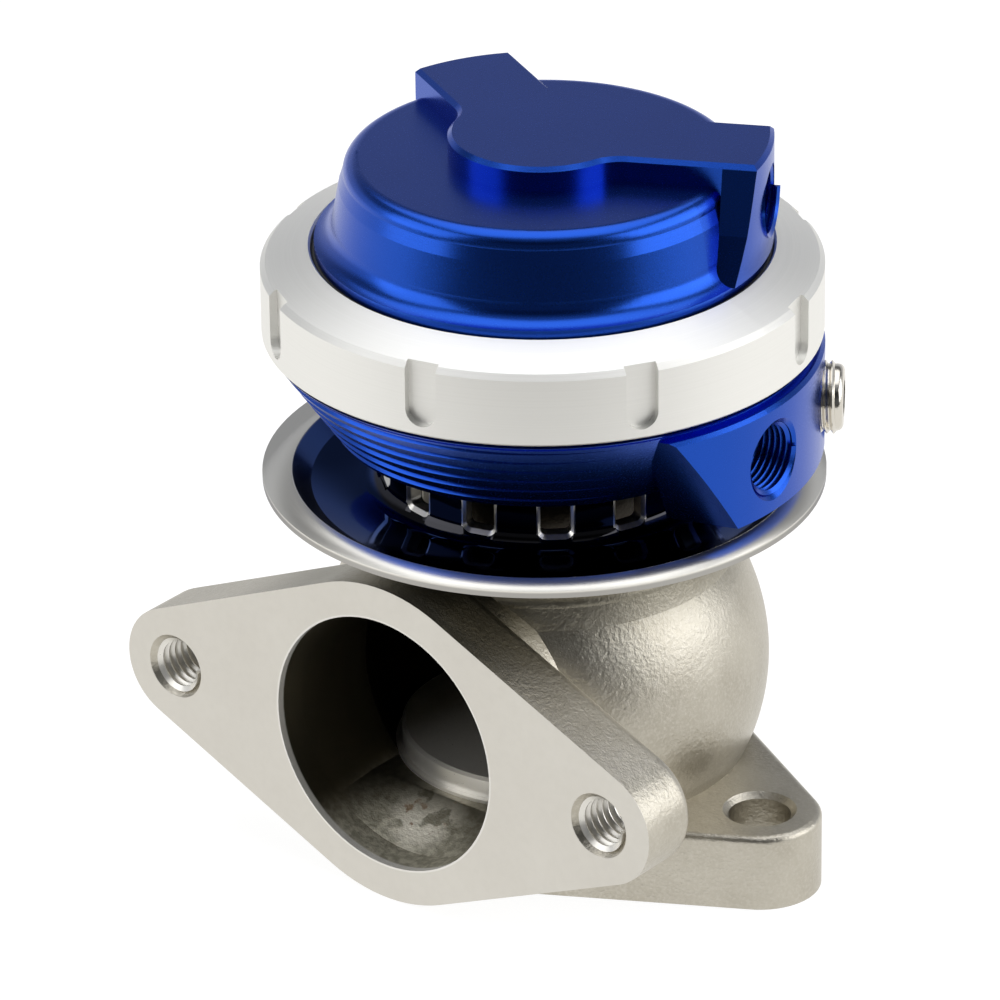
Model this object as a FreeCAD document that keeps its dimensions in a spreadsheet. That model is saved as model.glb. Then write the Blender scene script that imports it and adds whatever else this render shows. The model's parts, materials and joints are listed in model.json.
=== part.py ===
import FreeCAD, Part
import os
import re
import Sketcher

# External wastegate: a poppet valve, a sprung diaphragm actuator and two bolt flanges.
# Millimetres. Z is the valve axis, Z = 0 is the inlet face and the outlet faces -Y.

os.makedirs("parts", exist_ok=True)
doc = FreeCAD.newDocument("wastegate")

# Driving dimensions
SIZES = [
    ("bore_radius", 19.0, "inlet and outlet bore"),
    ("passage_growth", 0.6, "growth of the bore behind its ramp"),
    ("bolt_room", 6.5, "bolt axes beyond the round chamber"),
    ("flange_tip", 8.7, "round at each end of a flange"),
    ("outlet_rise", 5.3, "outlet bore above the inlet face"),
    ("outlet_stand", 4.6, "outlet face beyond the round chamber"),
    ("outlet_plate", 10.0, "outlet flange thickness"),
    ("outlet_land", 5.2, "middle round of the outlet flange beyond its bore"),
    ("neck_wall", 4.0, "wall of the round neck behind the outlet flange"),
    ("inlet_plate", 11.3, "inlet flange thickness"),
    ("inlet_land", 5.9, "middle round of the inlet flange beyond the seat ring"),
    ("stud_radius", 4.0, "tapped holes of the outlet flange"),
    ("clear_radius", 4.4, "plain holes of the inlet flange"),
    ("hole_bevel", 0.8, "bevel at the mouths of bolt holes"),
    ("chamber_room", 5.0, "round valve chamber beyond the valve head"),
    ("barrel_wall", 6.0, "chamber wall"),
    ("roof_wall", 6.0, "casting above the chamber"),
    ("neck_drop", 5.0, "upper end of the round barrel below the deck"),
    ("deck_drop", 2.5, "deck below the top of the outlet flange"),
    ("deck_radius", 24.0, "edge of the deck"),
    ("turret_radius", 17.0, "turret that carries the actuator"),
    ("cast_round", 2.0, "cast fillets"),
    ("seat_wall", 2.5, "wall of the seat ring"),
    ("seat_lip", 2.2, "flange of the seat ring"),
    ("seat_lip_depth", 2.5, "thickness of that flange"),
    ("seat_top", 10.6, "top of the seat ring"),
    ("seat_bevel", 0.6, "bevel inside the seat"),
    ("head_overlap", 1.6, "valve head beyond the bore"),
    ("head_rim", 2.6, "upright edge of the valve head"),
    ("head_dome", 2.0, "rise of the head inside its rim"),
    ("stem_radius", 4.0, "valve stem"),
    ("stem_thread", 3.0, "threaded end of the stem"),
    ("stem_gap", 0.05, "running gap round the stem"),
    ("free_gap", 0.4, "plain clearance round the stem"),
    ("guide_radius", 7.5, "outside of the guide bush"),
    ("guide_reach", 5.0, "guide below the chamber roof"),
    ("seal_depth", 2.4, "carbon seal above the guide"),
    ("clip_depth", 1.0, "circlip above the seal"),
    ("clip_groove", 8.1, "groove of the circlip"),
    ("turret_rise", 13.6, "top of the turret above the deck"),
    ("foot_radius", 29.3, "rim of that underside"),
    ("cone_height", 13.2, "height of the finned cone"),
    ("shoulder_radius", 38.4, "top radius of that cone"),
    ("floor_wall", 5.0, "floor of the lower housing"),
    ("cavity_floor", 26.9, "cavity radius at its floor"),
    ("cavity_radius", 30.5, "cavity radius at the diaphragm"),
    ("fin_pitch", 2.1, "spacing of the cooling grooves in height"),
    ("fin_start", 1.4, "first groove above the underside"),
    ("fin_depth", 0.5, "groove depth halfway round"),
    ("fin_shift", 0.8, "offset of the axis the grooves are turned about"),
    ("block_angle", 18.4, "azimuth of the port block"),
    ("block_stand", 0.8, "face of the port block beyond the top of the cone"),
    ("block_drop", 3.8, "port block below the underside of the housing"),
    ("block_step", 1.2, "top of the port block below the top of the cone"),
    ("block_top_half", 26.7, "half width of the block at its top"),
    ("block_foot_half", 17.9, "half width of the block at its foot"),
    ("block_inner", 24.6, "inner side of the block below the housing"),
    ("block_bevel", 0.5, "bevel round the face of the block"),
    ("port_angle", 2.8, "azimuth of the open side port"),
    ("plug_angle", 34.0, "azimuth of the plugged side port"),
    ("port_rise", 3.8, "axes of both side ports above that underside"),
    ("port_radius", 5.15, "thread of all ports"),
    ("port_bevel", 0.8, "bevel at the mouth of a port"),
    ("port_depth", 9.5, "threaded depth of a side port"),
    ("drill_radius", 2.4, "drilling from a port to its chamber"),
    ("side_drill_run", 3.7, "drillings of the side ports inside the cavity wall"),
    ("thread_height", 5.6, "threaded rim above the cone"),
    ("bead_depth", 2.0, "clamped thickness of the diaphragm"),
    ("bead_inner", 30.9, "inside of the diaphragm bead"),
    ("bead_outer", 35.1, "outside of the diaphragm bead"),
    ("thread_radius", 36.2, "thread between lower housing and collar"),
    ("thread_gap", 0.08, "running gap of that thread"),
    ("shield_sheet", 1.0, "heat shield sheet"),
    ("hat_radius", 22.5, "raised hat of the heat shield"),
    ("hat_wall", 2.3, "wall of the hat"),
    ("hat_round", 2.0, "outer round of the hat top"),
    ("hat_foot", 2.6, "round at the foot of the hat"),
    ("hat_height", 9.6, "top of the hat above the dish floor"),
    ("dish_bend", 33.0, "where the dish floor starts to rise"),
    ("rim_inner", 35.6, "inner edge of the rim band"),
    ("rim_radius", 39.5, "outer edge of the rim"),
    ("rim_rise", 1.8, "rim band above the dish floor"),
    ("vent_count", 13, "windows in the hat"),
    ("vent_width", 4.2, "width of a window"),
    ("vent_rise", 1.7, "lower edge of a window above the dish floor"),
    ("vent_height", 5.5, "height of a window"),
    ("vent_bevel", 0.5, "bevel round a window"),
    ("vent_angle", -47.2, "azimuth of one window"),
    ("shield_hole", 8.6, "middle hole of shield and gasket"),
    ("gasket_depth", 0.8, "insulating gasket below the shield"),
    ("screw_circle", 12.2, "radius of the screw circle"),
    ("screw_radius", 2.0, "actuator screws"),
    ("screw_clear", 2.35, "holes the screws pass through"),
    ("screw_reach", 9.0, "depth of the screws in the turret"),
    ("screw_head", 3.5, "screw head radius"),
    ("screw_head_height", 4.0, "screw head height"),
    ("screw_flats", 1.73, "hexagon socket of a screw, corner radius"),
    ("washer_depth", 0.6, "sealing washers below the heads"),
    ("screw_sink", 2.6, "counterbore depth below the housing floor"),
    ("screw_pocket", 4.1, "counterbore radius"),
    ("lift", 8.0, "travel of the valve"),
    ("plate_drop", 9.8, "underside of the lower plate below the diaphragm seat"),
    ("plate_radius", 23.0, "lower plate"),
    ("plate_depth", 1.6, "thickness of both plates"),
    ("rubber", 1.2, "diaphragm thickness"),
    ("rubber_flat", 24.6, "flat middle of the diaphragm"),
    ("cup_radius", 24.2, "upper plate, a spring cup"),
    ("cup_rim", 2.6, "height of its turned up rim"),
    ("hole_gap", 0.35, "gap between the stem and the parts it clamps"),
    ("nut_flats", 5.0, "half the stem nut across its flats"),
    ("nut_height", 5.0, "stem nut height"),
    ("nut_washer", 1.4, "washer below the nut"),
    ("nut_washer_radius", 7.0, "that washer's radius"),
    ("cap_room", 15.4, "inside height of the cap"),
    ("roof_radius", 25.2, "cavity radius at the roof"),
    ("cap_bulge", 28.4, "cavity radius at the flare"),
    ("cap_flange", 35.6, "clamped flange of the cap"),
    ("cap_flange_depth", 2.6, "its thickness"),
    ("cap_gap", 0.55, "gap between the cap wall and the collar"),
    ("rim_band", 0.9, "upright band of the cap above the collar"),
    ("flare_radius", 3.2, "hollow round of the flare"),
    ("flare_height", 3.0, "height of the flare"),
    ("flare_top", 28.95, "cap radius at the top of the flare"),
    ("cap_waist", 28.0, "cap radius at the waist"),
    ("waist_drop", 4.1, "waist below the cap disc"),
    ("cap_shoulder", 27.4, "edge of the cap disc"),
    ("cap_round", 2.2, "round of that edge"),
    ("cap_roof", 3.4, "thickness of the cap disc"),
    ("boss_rise", 3.5, "hub and arms above the disc"),
    ("hub_radius", 12.9, "hub"),
    ("arm_half", 7.25, "half width of an arm"),
    ("arm_blend", 5.5, "hollow round between hub and arm"),
    ("arm_angle", 28.0, "azimuth of the port arm"),
    ("arm_spread", 124.5, "angle from the port arm to the plain arm"),
    ("arm_reach", 32.0, "end of the port arm"),
    ("arm_foot_half", 13.2, "half width of the port arm at the collar"),
    ("arm_waist_half", 10.15, "half width of the port arm at its waist"),
    ("arm_waist", 6.3, "that waist above the foot of the port arm"),
    ("plain_reach", 28.2, "end of the plain arm"),
    ("boss_bevel", 0.6, "bevel round the boss"),
    ("cap_port_drop", 8.1, "axis of the cap port below the boss top"),
    ("cap_port_depth", 5.0, "threaded depth of the cap port"),
    ("cap_drill_run", 2.2, "drilling of the cap port inside the cavity wall"),
    ("cord", 0.5, "section radius of the cap O-ring"),
    ("cord_drop", 1.0, "cap O-ring below the top of the collar"),
    ("cord_gap", 0.08, "running gap between the O-ring and the collar"),
    ("collar_wall", 2.82, "wall of the collar round its thread"),
    ("collar_bore", 32.1, "opening in the top of the collar"),
    ("collar_gap", 0.6, "collar above the shoulder of the cone"),
    ("edge_drop", 2.3, "upper outer edge below the top of the collar"),
    ("lip_height", 2.6, "lip of the collar over the slip ring"),
    ("collar_bevel", 0.75, "bevel of the upper outer edge"),
    ("edge_bevel", 0.3, "bevel of the other edges of the collar"),
    ("thrust_depth", 0.6, "slip ring below the collar lip"),
    ("thrust_inner", 33.6, "inside of the slip ring"),
    ("notch_count", 8, "spanner notches"),
    ("notch_half", 2.3, "half width of a notch"),
    ("notch_rise", 1.4, "lowest point of a notch above the foot of the collar"),
    ("notch_depth", 1.2, "depth of a notch"),
    ("notch_angle", -76.2, "azimuth of one notch"),
    ("plug_stand", 2.7, "plug beyond the face of the block"),
    ("plug_sink", 6.2, "plug below that face"),
    ("plug_round", 1.0, "round of its outer end"),
    ("plug_flats", 2.75, "hexagon socket of the plug, corner radius"),
    ("plug_socket", 4.5, "depth of that socket"),
    ("outer_wire", 1.5, "outer spring wire radius"),
    ("outer_coil", 19.6, "outer spring mean radius"),
    ("middle_wire", 1.2, "middle spring wire radius"),
    ("middle_coil", 15.6, "middle spring mean radius"),
    ("inner_wire", 0.95, "inner spring wire radius"),
    ("inner_coil", 12.0, "inner spring mean radius"),
    ("spring_turns", 4.0, "turns of each spring"),
]

# Heights and radii that follow from them
DERIVED = [
    ("head_radius", "bore_radius + head_overlap", "valve head"),
    ("barrel_radius", "head_radius + chamber_room + barrel_wall", "round valve chamber, outside"),
    ("bolt_spacing", "2 * (barrel_radius + bolt_room)", "bolt centres of both flanges"),
    ("outlet_height", "bore_radius + outlet_rise", "outlet axis above the inlet face"),
    ("outlet_reach", "barrel_radius + outlet_stand", "outlet face from the valve axis"),
    ("outlet_round", "bore_radius + outlet_land", "middle round of the outlet flange"),
    ("outlet_neck", "bore_radius + neck_wall", "round neck behind the outlet flange"),
    ("inlet_round", "bore_radius + seat_wall + inlet_land", "middle round of the inlet flange"),
    ("deck_height", "outlet_height + outlet_round - deck_drop", "deck round the turret"),
    ("neck_height", "deck_height - neck_drop", "where the round barrel turns to the deck"),
    ("chamber_roof", "deck_height - roof_wall", "flat roof of the chamber"),
    ("foot_height", "deck_height + turret_rise + gasket_depth + shield_sheet", "housing underside"),
    ("shoulder_height", "foot_height + cone_height", "top of the cone below the collar"),
    ("parting_height", "shoulder_height + thread_height", "diaphragm seat of the housing"),
    ("block_foot", "foot_height - block_drop", "underside of the port block"),
    ("block_top", "shoulder_height - block_step", "top of the port block"),
    ("port_height", "foot_height + port_rise", "axis of both side ports"),
    ("dish_floor", "foot_height - hat_height", "dish floor, upper face"),
    ("rim_height", "dish_floor + rim_rise", "rim band, upper face"),
    ("vent_foot", "dish_floor + vent_rise", "lower edge of a window"),
    ("vent_head", "vent_foot + vent_height", "upper edge of a window"),
    ("plate_height", "parting_height - plate_drop", "underside of the lower plate"),
    ("cap_foot", "parting_height + bead_depth", "underside of the cap"),
    ("cap_ledge", "cap_foot + cap_flange_depth", "top of the clamped flange"),
    ("lip_foot", "cap_ledge + thrust_depth", "underside of the collar lip"),
    ("collar_foot", "shoulder_height + collar_gap", "lower edge of the collar"),
    ("collar_top", "lip_foot + lip_height", "upper inner edge of the collar"),
    ("collar_radius", "thread_radius + thread_gap + collar_wall", "outside of the collar"),
    ("collar_edge", "collar_top - edge_drop", "upper outer edge of the collar"),
    ("notch_foot", "collar_foot + notch_rise", "lowest point of a notch"),
    ("roof_height", "cap_foot + cap_room", "roof inside the cap, upper seat of the springs"),
    ("disc_height", "roof_height + cap_roof", "cap disc"),
    ("boss_height", "disc_height + boss_rise", "flat top of hub and arms"),
    ("cap_radius", "collar_bore - cap_gap", "cap wall inside the collar"),
    ("cap_flare", "collar_top + rim_band", "height where the cap flares in"),
    ("waist_height", "disc_height - waist_drop", "height of the cap waist"),
    ("cap_port_height", "boss_height - cap_port_drop", "axis of the cap port"),
    ("cord_height", "collar_top - cord_drop", "height of the cap O-ring"),
    ("cord_middle", "collar_bore - cord_gap - cord", "radius of the cap O-ring"),
    ("block_radius", "shoulder_radius + block_stand", "outer face of the port block"),
    ("plug_reach", "block_radius + plug_stand", "outer end of the plug"),
    ("plug_inner", "block_radius - plug_sink", "inner end of the plug"),
]

sheet = doc.addObject("Spreadsheet::Sheet", "Sizes")
for row, (alias, number, note) in enumerate(SIZES + DERIVED, 1):
    sheet.set("A%d" % row, note)
    sheet.setAlias("B%d" % row, alias)
    sheet.set("B%d" % row, str(number) if row <= len(SIZES) else "=" + number)
doc.recompute()
ALIASES = {alias for alias, number, note in SIZES + DERIVED}


def bind(text):
    # Turns bare size names into references to the sheet.
    return re.sub(r"[a-z]\w*",
                  lambda word: "Sizes." + word.group(0) if word.group(0) in ALIASES else word.group(0),
                  text)


def value(text):
    result = sheet.evalExpression(bind(text))
    return float(getattr(result, "Value", result))


# Expressions that several parts share
HALF_SPACING = "(bolt_spacing / 2)"
CHAMBER = "(barrel_radius - barrel_wall)"
SEAT_OUTER = "(bore_radius + seat_wall)"
PASSAGE_FLOOR = "(seat_top - 0.5)"
SHIELD_FOOT = "(foot_height - shield_sheet)"
GASKET_FOOT = f"({SHIELD_FOOT} - gasket_depth)"
CLIP_FOOT = f"({GASKET_FOOT} - clip_depth)"
SEAL_FOOT = f"({CLIP_FOOT} - seal_depth)"
FLOOR_TOP = "(foot_height + floor_wall)"
CONE_SLOPE = "((shoulder_radius - foot_radius) / (shoulder_height - foot_height))"
RUBBER_FOOT = "(plate_height + plate_depth)"
CUP_FOOT = f"({RUBBER_FOOT} + rubber)"
CUP_TOP = f"({CUP_FOOT} + plate_depth)"
NUT_FOOT = f"({CUP_TOP} + nut_washer)"
NUT_TOP = f"({NUT_FOOT} + nut_height)"
STEM_HOLE = "(stem_thread + hole_gap)"
WASHER_FOOT = f"({FLOOR_TOP} - screw_sink)"
HEAD_FOOT = f"({WASHER_FOOT} + washer_depth)"
HEAD_TOP = "(seat_top + head_rim)"
SIDE_DRILL = "(block_radius - cavity_floor + side_drill_run)"
CAP_DRILL = "(arm_reach - roof_radius + cap_drill_run)"


def new_body(name):
    body = doc.addObject("PartDesign::Body", name)
    body.Label = name
    return body


def datum(body, role):
    return next(item for item in body.Origin.OriginFeatures if item.Role == role)


def sketch_on(body, name, plane, azimuth="0", out="0", up="0"):
    # A level sketch lies flat at the height up. An upright one holds the Z axis, runs out
    # along the azimuth and is moved out along it. A facing one looks outward at the azimuth.
    drawing = body.newObject("Sketcher::SketchObject", name)
    level = plane == "level"
    drawing.AttachmentSupport = [(datum(body, "XY_Plane" if level else "XZ_Plane"), "")]
    drawing.MapMode = "FlatFace"
    axis = FreeCAD.Vector(0, 0, 1) if level else FreeCAD.Vector(0, 1, 0)
    drawing.AttachmentOffset = FreeCAD.Placement(FreeCAD.Vector(), FreeCAD.Rotation(axis, 1))
    turn = f"({azimuth}) + 90" if plane == "facing" else f"({azimuth}) + 0"
    drawing.setExpression("AttachmentOffset.Rotation.Angle", bind(turn))
    if level:
        drawing.setExpression("AttachmentOffset.Base.z", bind(up))
    else:
        drawing.setExpression("AttachmentOffset.Base.x", bind(f"({out}) * cos({azimuth})"))
        drawing.setExpression("AttachmentOffset.Base.z", bind(f"-({out}) * sin({azimuth})"))
    return drawing


def rule(drawing, constraint, text):
    number = drawing.addConstraint(constraint)
    drawing.setExpression("Constraints[%d]" % number, bind(text))


def add_circle(drawing, across, upward, radius):
    middle = FreeCAD.Vector(value(across), value(upward), 0)
    number = drawing.addGeometry(Part.Circle(middle, FreeCAD.Vector(0, 0, 1), value(radius)))
    rule(drawing, Sketcher.Constraint("DistanceX", -1, 1, number, 3, middle.x), across)
    rule(drawing, Sketcher.Constraint("DistanceY", -1, 1, number, 3, middle.y), upward)
    rule(drawing, Sketcher.Constraint("Radius", number, value(radius)), radius)


def arc_between(start, end, radius, turn):
    chord = end - start
    side = FreeCAD.Vector(-chord.y, chord.x, 0).normalize() * turn
    middle = (start + end) / 2 + side * max(radius ** 2 - chord.Length ** 2 / 4, 0) ** 0.5
    first, last = (start, end) if turn > 0 else (end, start)
    circle = Part.Circle(middle, FreeCAD.Vector(0, 0, 1), radius)
    return Part.ArcOfCircle(circle, circle.parameter(first), circle.parameter(last))


def add_outline(drawing, steps):
    # A closed outline. A step is (across, upward) for a straight run to that point, or
    # (across, upward, radius, turn) for an arc to it, turn +1 to the left and -1 to the right.
    spots = [FreeCAD.Vector(value(step[0]), value(step[1]), 0) for step in steps]
    shapes = []
    entries = []
    for place, step in enumerate(steps):
        start, end = spots[place - 1], spots[place]
        if len(step) == 2:
            shapes.append(Part.LineSegment(start, end))
            entries.append(1)
        else:
            shapes.append(arc_between(start, end, value(step[2]), step[3]))
            entries.append(1 if step[3] > 0 else 2)
    base = drawing.addGeometry(shapes)[0]
    rules = []
    texts = []
    for place, step in enumerate(steps):
        after = (place + 1) % len(steps)
        leaving = 3 - entries[place]
        rules.append(Sketcher.Constraint(
            "Coincident", base + place, leaving, base + after, entries[after]))
        rules.append(Sketcher.Constraint("DistanceX", -1, 1, base + place, leaving, spots[place].x))
        rules.append(Sketcher.Constraint("DistanceY", -1, 1, base + place, leaving, spots[place].y))
        texts += [None, step[0], step[1]]
        if len(step) == 4:
            rules.append(Sketcher.Constraint("Radius", base + place, value(step[2])))
            texts.append(step[2])
    for number, text in zip(drawing.addConstraint(rules), texts):
        if text is not None:
            drawing.setExpression("Constraints[%d]" % number, bind(text))


def turned(body, name, steps, cut=False, azimuth="0", out="0"):
    # A profile of (radius, height) steps turned about its own upright axis.
    drawing = sketch_on(body, name + "_profile", "upright", azimuth=azimuth, out=out)
    add_outline(drawing, steps)
    feature = body.newObject("PartDesign::Groove" if cut else "PartDesign::Revolution", name)
    feature.Profile = drawing
    feature.ReferenceAxis = (drawing, ["V_Axis"])
    feature.Angle = 360
    return feature


def ring_profile(inner, outer, foot, top):
    return [(inner, foot), (outer, foot), (outer, top), (inner, top)]


def pad(body, name, drawing, length):
    feature = body.newObject("PartDesign::Pad", name)
    feature.Profile = drawing
    feature.setExpression("Length", bind(length))
    return feature


def pocket(body, name, drawing, length, outward=False):
    feature = body.newObject("PartDesign::Pocket", name)
    feature.Profile = drawing
    feature.setExpression("Length", bind(length))
    feature.Reversed = outward
    return feature


def repeated(body, features, name, count):
    pattern = body.newObject("PartDesign::PolarPattern", name)
    pattern.Originals = features
    pattern.Axis = (datum(body, "Z_Axis"), [""])
    pattern.Angle = 360
    pattern.setExpression("Occurrences", bind(count))
    body.Tip = pattern
    return pattern


def softened(body, name, kind, size, chosen):
    # A fillet or chamfer on the edges of the finished tip that are chosen.
    doc.recompute()
    tip = body.Tip
    names = ["Edge%d" % number for number, edge in enumerate(tip.Shape.Edges, 1) if chosen(edge)]
    if not names:
        raise RuntimeError(f"{body.Label}: no edge for {name}")
    feature = body.newObject("PartDesign::" + kind, name)
    feature.Base = (tip, names)
    feature.setExpression("Radius" if kind == "Fillet" else "Size", bind(size))
    return feature


def round_edge(edge, radius):
    return hasattr(edge.Curve, "Radius") and abs(edge.Curve.Radius - radius) < 0.01


def lies_at(edge, letter, place):
    box = edge.BoundBox
    return abs(getattr(box, letter + "Min") - place) + abs(getattr(box, letter + "Max") - place) < 0.02


def hexagon(drawing, corner):
    # Six corners round the sketch origin.
    add_outline(drawing, [(f"({corner}) * cos({60 * step})", f"({corner}) * sin({60 * step})")
                          for step in range(6)])


# Cast body
def flange_outline(drawing, middle, centre):
    # Two end rounds and a middle round, joined by their common tangents.
    lean = f"asin(({middle} - flange_tip) / {HALF_SPACING})"
    steps = []
    for side, top in ((1, -1), (1, 1), (-1, 1), (-1, -1)):
        tip = (f"{side} * ({HALF_SPACING} + flange_tip * sin({lean}))",
               f"{centre} + {top} * flange_tip * cos({lean})")
        waist = (f"{side} * {middle} * sin({lean})",
                 f"{centre} + {top} * {middle} * cos({lean})")
        if side == top:
            steps += [tip + ("flange_tip", 1), waist]
        else:
            steps += [waist + (middle, 1), tip]
    add_outline(drawing, steps)


def make_valve_body():
    body = new_body("valve_body")
    make_flanges(body)
    drawing = sketch_on(body, "neck_circle", "facing", azimuth="-90", out="bore_radius / 2")
    add_circle(drawing, "0", "outlet_height", "outlet_neck")
    pad(body, "neck", drawing, "outlet_reach - bore_radius / 2 - outlet_plate / 2")
    foot = "(inlet_plate / 2)"
    foot_radius = f"sqrt(barrel_radius^2 - (outlet_height - {foot})^2)"
    neck_radius = "sqrt(barrel_radius^2 - (neck_height - outlet_height)^2)"
    turned(body, "barrel", [
        ("0", foot), (foot_radius, foot),
        ("barrel_radius", "outlet_height", "barrel_radius", 1),
        (neck_radius, "neck_height", "barrel_radius", 1),
        ("deck_radius + cast_round", "deck_height - cast_round"),
        ("deck_radius", "deck_height", "cast_round", 1),
        ("turret_radius + cast_round", "deck_height"),
        ("turret_radius", "deck_height + cast_round", "cast_round", -1),
        ("turret_radius", GASKET_FOOT), ("0", GASKET_FOOT)])
    cut_chamber(body)
    cut_body_holes(body)
    turned(body, "guide_bore", [
        ("0", "chamber_roof - 1"), ("guide_radius", "chamber_roof - 1"),
        ("guide_radius", CLIP_FOOT), ("clip_groove", CLIP_FOOT),
        ("clip_groove", f"{GASKET_FOOT} + 1"), ("0", f"{GASKET_FOOT} + 1")], cut=True)
    turned(body, "seat_bore", [
        ("0", "-1"), (f"{SEAT_OUTER} + seat_lip + free_gap", "-1"),
        (f"{SEAT_OUTER} + seat_lip + free_gap", "seat_lip_depth"),
        (SEAT_OUTER, "seat_lip_depth"), (SEAT_OUTER, "seat_top"), ("0", "seat_top")], cut=True)


def make_flanges(body):
    # The cast edges behind the machined faces are rounded
    drawing = sketch_on(body, "outlet_outline", "facing", azimuth="-90",
                        out="outlet_reach - outlet_plate")
    flange_outline(drawing, "outlet_round", "outlet_height")
    pad(body, "outlet_flange", drawing, "outlet_plate")
    back = -value("outlet_reach - outlet_plate")
    softened(body, "outlet_rounds", "Fillet", "cast_round", lambda edge: lies_at(edge, "Y", back))
    drawing = sketch_on(body, "inlet_outline", "level")
    flange_outline(drawing, "inlet_round", "0")
    pad(body, "inlet_flange", drawing, "inlet_plate")
    top = value("inlet_plate")
    softened(body, "inlet_rounds", "Fillet", "cast_round / 2",
             lambda edge: lies_at(edge, "Z", top) and edge.BoundBox.YMax > back + 0.1)


def cut_chamber(body):
    floor_radius = f"sqrt({CHAMBER}^2 - (outlet_height - {PASSAGE_FLOOR})^2)"
    roof_radius = f"sqrt({CHAMBER}^2 - (chamber_roof - outlet_height)^2)"
    turned(body, "chamber", [
        ("0", PASSAGE_FLOOR), (floor_radius, PASSAGE_FLOOR),
        (CHAMBER, "outlet_height", CHAMBER, 1),
        (roof_radius, "chamber_roof", CHAMBER, 1), ("0", "chamber_roof")], cut=True)
    # The outlet is round at its face and its floor climbs to the seat
    def rounded(radius):
        sill = f"sqrt({radius}^2 - (outlet_height - {PASSAGE_FLOOR})^2)"
        return [(sill, PASSAGE_FLOOR), ("0", f"outlet_height + {radius}", radius, 1),
                (f"-{sill}", PASSAGE_FLOOR, radius, 1)]

    mouth = "outlet_reach - outlet_plate / 2"
    drawing = sketch_on(body, "outlet_circle", "facing", azimuth="-90", out="outlet_reach")
    add_circle(drawing, "0", "outlet_height", "bore_radius")
    pocket(body, "outlet_bore", drawing, "outlet_plate / 2")
    outer = sketch_on(body, "ramp_start", "facing", azimuth="-90", out=mouth)
    start = rounded("bore_radius")
    add_outline(outer, [start[0] + ("bore_radius", 1)] + start[1:])
    inner = sketch_on(body, "ramp_end", "facing", azimuth="-90", out=f"{SEAT_OUTER} + 1")
    add_outline(inner, rounded("(bore_radius + passage_growth)"))
    ramp = body.newObject("PartDesign::SubtractiveLoft", "outlet_ramp")
    ramp.Profile = outer
    ramp.Sections = [inner]
    ramp.Ruled = True
    drawing = sketch_on(body, "passage_outline", "facing", azimuth="-90", out=f"{SEAT_OUTER} + 1")
    add_outline(drawing, rounded("(bore_radius + passage_growth)"))
    pocket(body, "passage", drawing, "bore_radius / 2")


def cut_body_holes(body):
    for side, label in ((-1, "left"), (1, "right")):
        drawing = sketch_on(body, f"stud_circle_{label}", "facing", azimuth="-90", out="outlet_reach")
        add_circle(drawing, f"{side} * {HALF_SPACING}", "outlet_height", "stud_radius")
        pocket(body, f"stud_hole_{label}", drawing, "outlet_plate + 1")
        drawing = sketch_on(body, f"bolt_circle_{label}", "level", up="inlet_plate")
        add_circle(drawing, f"{side} * {HALF_SPACING}", "0", "clear_radius")
        pocket(body, f"bolt_hole_{label}", drawing, "inlet_plate + 1")
    softened(body, "hole_bevels", "Chamfer", "hole_bevel",
             lambda edge: (round_edge(edge, value("stud_radius"))
                           and lies_at(edge, "Y", -value("outlet_reach")))
             or (round_edge(edge, value("clear_radius")) and lies_at(edge, "Z", value("inlet_plate"))))
    drawing = sketch_on(body, "turret_circle", "level", azimuth="45", up=GASKET_FOOT)
    add_circle(drawing, "screw_circle", "0", "screw_radius")
    hole = pocket(body, "turret_hole", drawing, "screw_reach + 2")
    repeated(body, [hole], "turret_holes", "4")


# Seat ring, valve, guide and seals
def make_valve_seat():
    body = new_body("valve_seat")
    lip = f"({SEAT_OUTER} + seat_lip)"
    turned(body, "ring", [
        ("bore_radius", "0"), (lip, "0"), (lip, "seat_lip_depth"),
        (SEAT_OUTER, "seat_lip_depth"), (SEAT_OUTER, "seat_top"),
        ("bore_radius + seat_bevel", "seat_top"), ("bore_radius", "seat_top - seat_bevel")])


def make_valve():
    body = new_body("valve")
    tip = f"({NUT_TOP} + 1.4)"
    pilot = "(bore_radius - free_gap)"
    turned(body, "poppet", [
        ("0", "seat_top - 0.3"), (f"{pilot} - 0.3", "seat_top - 0.3"),
        (pilot, "seat_top"), ("head_radius", "seat_top"),
        ("head_radius", HEAD_TOP), ("head_radius - 0.5", f"{HEAD_TOP} + 0.4"),
        ("stem_radius + 8", f"{HEAD_TOP} + head_dome"),
        ("stem_radius", f"{HEAD_TOP} + head_dome + 7.2", "9", -1),
        ("stem_radius", "plate_height"), ("stem_thread", "plate_height"),
        ("stem_thread", f"{tip} - 0.5"), ("stem_thread - 0.5", tip), ("0", tip)])


def make_stem_parts():
    bore = "(stem_radius + stem_gap)"
    body = new_body("valve_guide")
    turned(body, "bush", [
        (bore, "chamber_roof - guide_reach"),
        ("guide_radius - 1", "chamber_roof - guide_reach"),
        ("guide_radius", "chamber_roof - guide_reach + 1"),
        ("guide_radius", SEAL_FOOT), (bore, SEAL_FOOT)])
    body = new_body("stem_seal")
    turned(body, "ring", ring_profile(bore, "guide_radius", SEAL_FOOT, CLIP_FOOT))
    body = new_body("guide_circlip")
    outer = "(clip_groove - 0.3)"
    inner = "(guide_radius - 1.4)"
    drawing = sketch_on(body, "clip_outline", "level", up=CLIP_FOOT)
    marks = [(f"cos({turn})", f"sin({turn})") for turn in (14, 120, 240, 346)]
    steps = [(f"{outer} * {marks[0][0]}", f"{outer} * {marks[0][1]}")]
    steps += [(f"{outer} * {across}", f"{outer} * {upward}", outer, 1) for across, upward in marks[1:]]
    steps += [(f"{inner} * {marks[3][0]}", f"{inner} * {marks[3][1]}")]
    steps += [(f"{inner} * {across}", f"{inner} * {upward}", inner, -1)
              for across, upward in marks[2::-1]]
    add_outline(drawing, steps)
    pad(body, "clip", drawing, "clip_depth - 0.3")


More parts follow.
